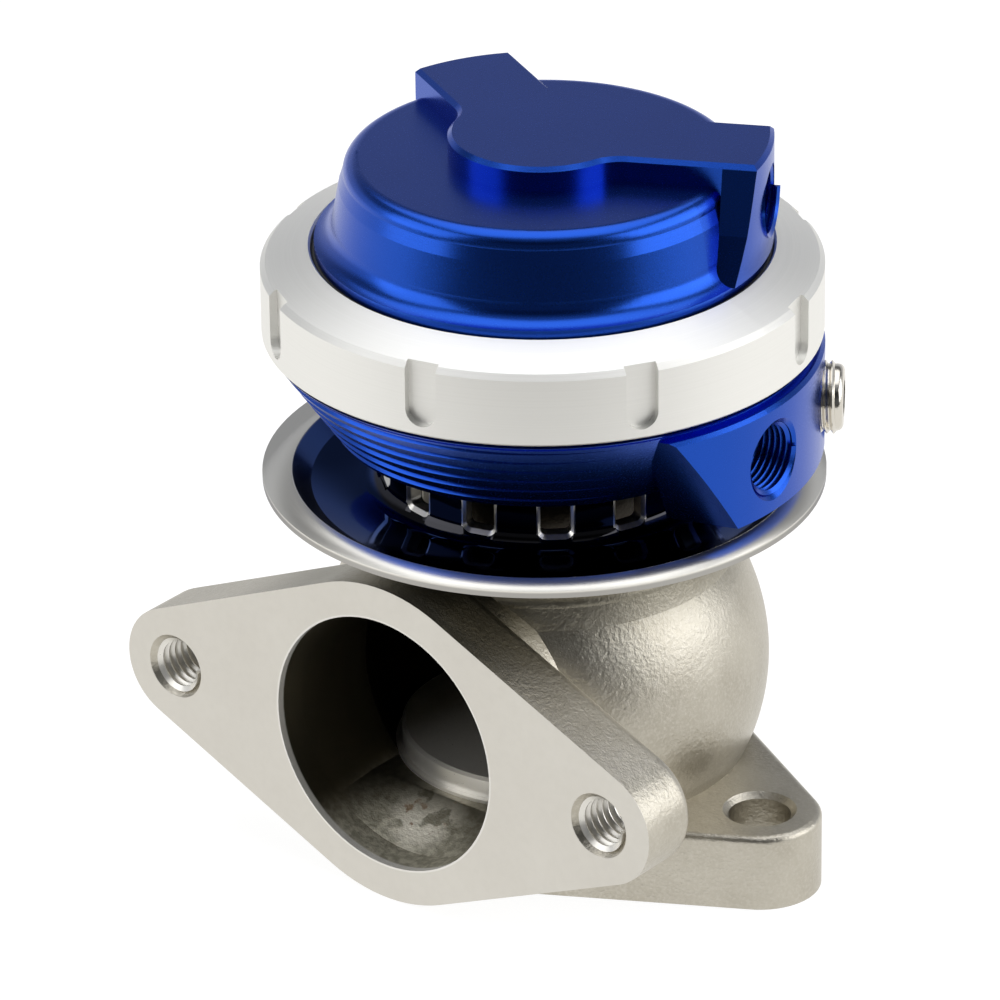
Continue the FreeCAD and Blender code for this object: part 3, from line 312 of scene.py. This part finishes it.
def spun_steel():
    g = Graph(bpy.data.materials.new("spun_steel"))
    radius = g.length(g.x, g.y)

    # Each window's cut edge: near enough to the nearest window's middle line and mid height.
    half = math.pi / WINDOWS
    angle = g.math("WRAP", g.math("SUBTRACT", g.math("ARCTAN2", g.y, g.x), WINDOW_ANGLE), half, -half)
    across = g.math("ABSOLUTE", g.times(radius, angle))
    above = g.math("ABSOLUTE", g.math("SUBTRACT", g.z, WINDOW_MIDDLE))
    cut = g.times(g.math("LESS_THAN", across, WINDOW_HALF + CUT_EDGE),
                  g.math("LESS_THAN", above, WINDOW_REACH + CUT_EDGE),
                  g.math("GREATER_THAN", radius, HAT_INSIDE),
                  g.math("LESS_THAN", radius, HAT + 0.0001))

    # Brushed rim and underside; the rim's lower lip, the hat and its inside are painted dark as painted
    # shade, the hat also as a painted dark reflection.
    brushed = g.math("MAXIMUM", g.ramp(radius, RIM - 0.0002, RIM), g.ramp(g.z, DISH - 0.0005, DISH - 0.0008))
    lip_shade = g.times(g.ramp(radius, LIP, LIP + 0.0002), g.ramp(g.z, RIM_TOP, RIM_TOP - 0.0004))
    hat_shade = g.times(g.ramp(radius, HAT + 0.0036, HAT + 0.0026), g.ramp(g.z, DISH + 0.0001, DISH + 0.0005))
    inside_shade = g.times(g.math("LESS_THAN", radius, HAT_INSIDE), g.math("LESS_THAN", g.z, HAT_TOP))
    # The polished dish is painted dark blue, a painted reflection of the shaded blue housing above it.
    tint = g.mix(brushed, rgb(0.022, 0.045, 0.150), rgb(0.86, 0.84, 0.78))
    # The rim's lower lip is painted grey as painted shade.
    tint = g.mix(lip_shade, tint, rgb(0.42, 0.41, 0.39))
    # The hat is painted near black as painted shade and a painted dark reflection.
    tint = g.mix(hat_shade, tint, rgb(0.035, 0.035, 0.04))
    # The hat's inside is painted near black as painted shade.
    tint = g.mix(inside_shade, tint, rgb(0.03, 0.028, 0.026))
    tint = g.mix(cut, tint, rgb(0.86, 0.84, 0.79))
    smudge = g.ramp(g.noise(140.0, 4.0, 0.6), 0.3, 0.8, 0.05, 0.10)
    polished = g.math("ADD", smudge, g.ramp(radius, 0.030, 0.034, 0.0, 0.10))
    rings = g.turned(4500.0)
    rough = g.blend(brushed, polished, g.blend(rings, 0.26, 0.36))
    rough = g.blend(g.math("MAXIMUM", cut, inside_shade), rough, 0.3)

    # The profile of the bump: a bowl that steepens outwards, then a rim that rolls over.
    bowl = g.math("MAXIMUM", g.math("SUBTRACT", radius, BOWL), 0.0)
    bowl = g.times(bowl, bowl, g.math("LESS_THAN", radius, RIM), BOWL_CURVE)
    past = g.math("MAXIMUM", g.math("SUBTRACT", radius, RIM), 0.0)
    rolled = g.times(g.math("ADD", g.times(past, ROLL_CURVE), ROLL_SLOPE), past)
    profile = g.times(g.math("SUBTRACT", bowl, rolled), g.math("GREATER_THAN", g.z, DISH - 0.0004))
    marks = g.times(rings, g.blend(brushed, 0.0000004, 0.000005))
    g.surface(Base_Color=tint, Metallic=1.0, Roughness=rough, Specular_Tint=rgb(0.55, 0.56, 0.60),
              Normal=g.bump(g.math("ADD", profile, marks), 1.0))
    return g.owner


library["spun_steel"] = spun_steel()
print("shield ready")

# %% [markdown]
# ## Small metals, rubber and graphite
# Most small parts are one plain metal each, so one function with two tones and two roughness
# limits serves them all: the fine noise gives tool marks, the broad one handling marks. Rubber
# and graphite are no metals and get their own short function. At the end each solid takes the
# finish that its record names.

# %% Small finishes
def plain_metal(name, dark, light, low, high, metallic=1.0):
    g = Graph(bpy.data.materials.new(name))
    fine = g.noise(4500.0, 3.0)
    tint = g.mix(g.noise(200.0, 4.0), rgb(*dark), rgb(*light))
    g.surface(Base_Color=tint, Metallic=metallic, Roughness=g.blend(fine, low, high),
              Normal=g.bump(fine, 0.00002, 0.5))
    return g.owner


def soft_matter(name, dark, light, low, high):
    g = Graph(bpy.data.materials.new(name))
    fine = g.noise(3000.0, 3.0)
    g.surface(Base_Color=g.mix(fine, rgb(*dark), rgb(*light)), Metallic=0.0,
              Roughness=g.blend(fine, low, high), Normal=g.bump(fine, 0.00004, 0.6))
    return g.owner


library["machined_steel"] = plain_metal("machined_steel", (0.80, 0.78, 0.73), (0.88, 0.86, 0.81),
                                        0.24, 0.36, metallic=0.7)
library["nickel"] = plain_metal("nickel", (0.62, 0.585, 0.52), (0.74, 0.71, 0.65), 0.12, 0.22)
library["spring_steel"] = plain_metal("spring_steel", (0.30, 0.30, 0.31), (0.42, 0.42, 0.43), 0.25, 0.38)
library["bronze"] = plain_metal("bronze", (0.55, 0.33, 0.14), (0.64, 0.41, 0.20), 0.22, 0.34)
library["black_rubber"] = soft_matter("black_rubber", (0.01, 0.01, 0.01), (0.022, 0.022, 0.022), 0.45, 0.6)
library["graphite"] = soft_matter("graphite", (0.05, 0.05, 0.055), (0.09, 0.09, 0.095), 0.5, 0.65)
slots = {entry["node"]: entry["material_slot"] for entry in frame["record"]["subparts"]}
for name, item in nodes.items():
    item.data.materials.clear()
    item.data.materials.append(library[slots[name]])
print("finishes", sorted(library))

# %% [markdown]
# ## Threads
# The solids keep tapped holes smooth, but in the photograph their turns catch the light. A
# thread is a small ridge wound round an axis. One spin with a step along the axis winds it, and
# a fill closes both ends. The ridge's foot lies just inside the metal, so no gap shows.

# %% Wind one thread
STEPS = 40


def wind(shape, foot, crest, pitch, start, end):
    turns = int((end - start) / pitch)
    start = end - turns * pitch
    profile = ((foot, -0.46), (crest, -0.07), (crest, 0.07), (foot, 0.46))
    ring = [shape.verts.new((radius, 0.0, start + share * pitch)) for radius, share in profile]
    edges = [shape.edges.new((first, last)) for first, last in zip(ring, ring[1:] + ring[:1])]
    wound = bmesh.ops.spin(shape, geom=ring + edges, cent=(0, 0, 0), axis=(0, 0, 1),
                           dvec=(0, 0, pitch / STEPS), angle=math.tau * turns, steps=STEPS * turns)
    last = [part for part in wound["geom_last"] if isinstance(part, bmesh.types.BMEdge)]
    bmesh.ops.contextual_create(shape, geom=edges)
    bmesh.ops.contextual_create(shape, geom=last)


def finish_piece(name, shape, place, slot, body):
    bmesh.ops.recalc_face_normals(shape, faces=shape.faces)
    bmesh.ops.transform(shape, matrix=place, verts=shape.verts)
    mesh = bpy.data.meshes.new(name)
    shape.to_mesh(mesh)
    shape.free()
    piece = bpy.data.objects.new(name, mesh)
    bpy.context.scene.collection.objects.link(piece)
    mesh.materials.append(library[slot])
    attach(piece, body)
    print(name, len(mesh.polygons), "faces")
    return piece


def radial(degrees, height):
    # Turns Z outward at an azimuth, at a height on the valve axis.
    outward = Vector((math.cos(math.radians(degrees)), math.sin(math.radians(degrees)), 0.0))
    return Matrix.Translation((0, 0, height)) @ outward.to_track_quat("Z", "Y").to_matrix().to_4x4()


# %% [markdown]
# ## Tapped holes
# Four holes show their turns: two tapped holes in the outlet flange, the open port of the
# housing and the port of the cap. Each is the same ridge with its own radius, pitch and run,
# placed along its hole's axis.

# %% Tapped holes
STUD = 0.0381
STUD_FOOT, STUD_CREST, STUD_PITCH = 0.00403, 0.00336, 0.00125
STUD_START, STUD_END = 0.0268, 0.0355
PORT_FOOT, PORT_CREST, PORT_PITCH = 0.00518, 0.00462, 0.00094
PORT_HEIGHT = 0.0652
PORT_ANGLE = 2.8
PLUG_ANGLE = 34.0
CAP_PORT_HEIGHT = 0.0964
CAP_PORT_ANGLE = 28.0

for side, across in (("left", -STUD), ("right", STUD)):
    thread = bmesh.new()
    wind(thread, STUD_FOOT, STUD_CREST, STUD_PITCH, STUD_START, STUD_END)
    outward = Matrix.Translation((across, 0, OUTLET_AXIS)) @ Matrix.Rotation(math.pi / 2, 4, "X")
    finish_piece("outlet_thread_" + side, thread, outward, "machined_steel", "root")

for name, degrees, height, start, end in (
        ("side_port_thread", PORT_ANGLE, PORT_HEIGHT, 0.0302, 0.0386),
        ("cap_port_thread", CAP_PORT_ANGLE, CAP_PORT_HEIGHT, 0.0274, 0.0320)):
    thread = bmesh.new()
    wind(thread, PORT_FOOT, PORT_CREST, PORT_PITCH, start, end)
    finish_piece(name, thread, radial(degrees, height), "blue_aluminium", "root")

# %% [markdown]
# ## Port plug
# The second side port is shut by a nickel plated pipe plug: a threaded slug with a rounded nose
# and a hexagon socket. The slug is a capped cone primitive with equal ends, the nose a bevel of
# its rim and the socket an inset face that is pulled to a hexagon and pushed in.

# %% Port plug
PLUG_ROOT = 0.00470
PLUG_CREST = 0.00514
PLUG_INNER = 0.0330
PLUG_OUTER = 0.0419
NOSE_ROUND = 0.0009
SOCKET_ROOM = 0.0032
SOCKET_FLAT = 0.00238
SOCKET_DEPTH = 0.0045


def plug_slug():
    shape = bmesh.new()
    slug = bmesh.ops.create_cone(shape, cap_ends=True, segments=48, radius1=PLUG_ROOT, radius2=PLUG_ROOT,
                                 depth=PLUG_OUTER - PLUG_INNER)
    bmesh.ops.translate(shape, verts=slug["verts"], vec=(0, 0, (PLUG_OUTER + PLUG_INNER) / 2))
    nose = max(shape.faces, key=lambda face: face.calc_center_median().z)
    bmesh.ops.inset_region(shape, faces=[nose], thickness=PLUG_ROOT - SOCKET_ROOM, use_even_offset=True)
    for vert in nose.verts:
        turn = math.atan2(vert.co.y, vert.co.x)
        reach = SOCKET_FLAT / math.cos((turn % (math.pi / 3)) - math.pi / 6)
        vert.co.xy = (reach * math.cos(turn), reach * math.sin(turn))
    pushed = bmesh.ops.extrude_discrete_faces(shape, faces=[nose])["faces"]
    bmesh.ops.translate(shape, verts=pushed[0].verts, vec=(0, 0, -SOCKET_DEPTH))
    rim = [edge for edge in shape.edges
           if all(abs(v.co.z - PLUG_OUTER) < 1e-6 and v.co.xy.length > PLUG_ROOT - 1e-5 for v in edge.verts)]
    bmesh.ops.bevel(shape, geom=rim, offset=NOSE_ROUND, offset_type="OFFSET", segments=5, profile=0.5,
                    affect="EDGES", material=-1)
    return shape


slug = plug_slug()
wind(slug, PLUG_ROOT - 0.00004, PLUG_CREST, PORT_PITCH, PLUG_INNER + 0.0006, PLUG_OUTER - 0.0010)
plug = finish_piece("threaded_plug", slug, radial(PLUG_ANGLE, PORT_HEIGHT), "nickel", "root")
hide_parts("side_port_plug")

# %% [markdown]
# ## Springs and diaphragm
# When the valve lifts, its three springs shorten against the cap and the diaphragm's middle
# rises to its clamped rim. A copy with a mesh of its own stands for each, and the original is
# hidden; nothing here makes a copy flex. The record gives each one's fixed end, which is read
# here but not used.

# %% Springs and diaphragm
for joint in frame["record"]["behaviour"]["joints"]:
    for entry in joint.get("deforming_nodes", []):
        name, fixed = entry["node"], entry["fixed_end_z_m"]
        flexing = bpy.data.objects.new(name + "_flexing", nodes[name].data.copy())
        bpy.context.scene.collection.objects.link(flexing)
        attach(flexing, "root")
        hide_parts(name)
        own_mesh(flexing)

# %% [markdown]
# ## Smooth faces
# New pieces start faceted. Round ones shade smoothly, and an angle limit keeps their edges crisp.

# %% Smooth shading
for item in bpy.context.scene.objects:
    if item.type == "MESH" and item.name not in nodes:
        item.data.shade_smooth()
        item.data.set_sharp_from_angle(angle=math.radians(32))
print("smooth shading set")

# %% [markdown]
# ## Where the camera stands
# Lamps, table and room are laid out as seen from the camera, so its place comes first: two
# angles round the valve axis, a small roll, and the distance. From them come the two directions
# that the studio is measured in, to the right and towards the camera.

# %% Camera place
azimuth, elevation, roll, distance = 0.686, 0.461, -0.0122, 1.100
right = Vector((math.cos(azimuth), math.sin(azimuth), 0.0))
toward = Vector((math.sin(azimuth), -math.cos(azimuth), 0.0))
print("camera looks along", tuple(-toward))

# %% [markdown]
# ## Lamps
# The photograph was taken on a white table under a wide soft light, with one soft light at each
# side. Lamps with a size give the same soft borders, where a point lamp would give hard ones.
# Each aims at the middle of the object, and its energy grows with its area, so that a lamp can
# be made larger and keep its brightness.

# %% Lamps
MIDDLE = 0.05
scene = bpy.context.scene


def soft_box(name, sideways, forward, height, width, tall, radiance):
    place = right * sideways + toward * forward + Vector((0.0, 0.0, height))
    data = bpy.data.lights.new(name, "AREA")
    data.shape = "RECTANGLE"
    data.size = width
    data.size_y = tall
    data.energy = radiance * math.pi * width * tall
    lamp = bpy.data.objects.new(name, data)
    aim = (place - Vector((0.0, 0.0, MIDDLE))).normalized()
    lamp.matrix_world = Matrix.Translation(place) @ aim.to_track_quat("Z", "Y").to_matrix().to_4x4()
    scene.collection.objects.link(lamp)
    print(name, round(data.energy, 2), "W")


soft_box("top_light", 0.0, -0.20, 1.15, width=1.5, tall=1.3, radiance=1.25)
soft_box("left_light", -1.00, 0.28, 0.50, width=0.9, tall=0.9, radiance=1.7)
soft_box("right_light", 0.97, 0.24, 0.48, width=1.1, tall=0.9, radiance=2.25)

# %% [markdown]
# ## Table and room
# Bare metal shows what stands round it, so the table and the room are built too. The camera
# itself sees plain white with a soft shadow. Every other ray sees the table, white up to its
# front edge and dark beyond, below a room that is dim in front and lighter behind and above. The
# dark in front shows in the cap's wall, while the table lights the collar.

# %% Table and room
TABLE_EDGE = 0.30


def forward_of(g):
    return g.math("ADD", g.times(g.x, toward.x), g.times(g.y, toward.y))


def camera_switch(g, others, camera):
    choose = g.add("ShaderNodeMixShader")
    g.put(choose.inputs[0], g.add("ShaderNodeLightPath").outputs["Is Camera Ray"])
    g.put(choose.inputs[1], others)
    g.put(choose.inputs[2], camera)
    g.put(g.out.inputs[0], choose.outputs[0])


mesh = bpy.data.meshes.new("table")
shape = bmesh.new()
bmesh.ops.create_grid(shape, x_segments=1, y_segments=1, size=4.0)
shape.to_mesh(mesh)
shape.free()
table = bpy.data.objects.new("table", mesh)
scene.collection.objects.link(table)
g = Graph(bpy.data.materials.new("table_white"))
paper = g.add("ShaderNodeEmission", Color=rgb(1.0, 0.99, 0.965),
              Strength=g.ramp(forward_of(g), TABLE_EDGE - 0.04, TABLE_EDGE + 0.06, 1.0, 0.03))
sheet = g.add("ShaderNodeAddShader")
g.put(sheet.inputs[0], g.add("ShaderNodeEmission", Strength=0.90).outputs[0])
g.put(sheet.inputs[1], g.add("ShaderNodeBsdfDiffuse", Color=rgb(0.22, 0.22, 0.22)).outputs[0])
camera_switch(g, paper.outputs[0], sheet.outputs[0])
mesh.materials.append(g.owner)

scene.world = bpy.data.worlds.new("room")
g = Graph(scene.world, "ShaderNodeOutputWorld", "Generated")
walls = g.times(g.ramp(g.z, 0.26, 0.48, 0.62, 0.14), g.ramp(forward_of(g), -0.3, 0.55, 1.0, 0.15))
level = g.math("ADD", walls, g.ramp(g.z, 0.6, 0.95, 0.0, 0.4))
room = g.add("ShaderNodeBackground", Color=rgb(0.94, 0.96, 1.0), Strength=level)
camera_switch(g, room.outputs[0], g.add("ShaderNodeBackground", Color=rgb(1.0, 1.0, 1.0)).outputs[0])
print("table edge", TABLE_EDGE)

# %% [markdown]
# ## Camera
# Position, lens and roll were solved from the ellipses of the collar, shield and flange, so the
# render lies on the photograph. A long lens from about a metre keeps the circles nearly parallel.

# %% Camera
AIM_HEIGHT = 0.04796
AIM_LEFT = 0.00627
LENS = 282.1

back = toward * math.cos(elevation) + Vector((0.0, 0.0, math.sin(elevation)))
up = back.cross(right)
side = right * math.cos(roll) + up * math.sin(roll)
rise = up * math.cos(roll) - right * math.sin(roll)
place = Vector((0.0, 0.0, AIM_HEIGHT)) - right * AIM_LEFT + back * distance
data = bpy.data.cameras.new("camera")
data.lens = LENS
data.sensor_width = 36.0
data.clip_end = 20.0
camera = bpy.data.objects.new("camera", data)
camera.matrix_world = Matrix((
    (side.x, rise.x, back.x, place.x), (side.y, rise.y, back.y, place.y),
    (side.z, rise.z, back.z, place.z), (0.0, 0.0, 0.0, 1.0)))
scene.collection.objects.link(camera)
scene.camera = camera
scene.view_settings.view_transform = "Standard"
print("lens", data.lens)
